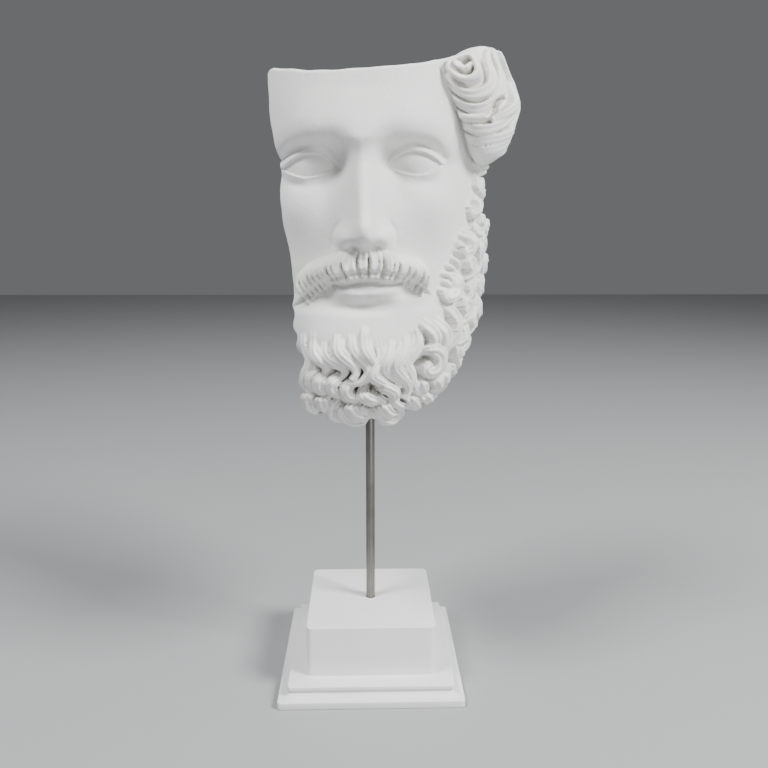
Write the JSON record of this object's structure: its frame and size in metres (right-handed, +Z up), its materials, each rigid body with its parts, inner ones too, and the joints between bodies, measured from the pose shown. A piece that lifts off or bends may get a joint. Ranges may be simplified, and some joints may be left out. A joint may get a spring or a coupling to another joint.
{
  "type": "face sculpture on a plinth",
  "caption": "Broken-off bearded classical face, cast matte white, held on a thin upright steel rod above a square stepped plinth for display.",
  "frame": {"origin": "centre of the plinth's underside, under the axis of the rod", "axes": "+Z up along the rod, the face looks along -Y, and +X is the side with the hair, on the right of someone who faces the sculpture"},
  "size_m": [0.1517, 0.1276, 0.4068],
  "materials": {
    "cast_white": "matte, plaster-like cast resin, slightly chalky",
    "rod_steel": "satin drawn steel"
  },
  "bodies": {
    "root": {"face_fragment": "cast_white", "rod": "rod_steel", "plinth": "cast_white"}
  },
  "joints": []
}
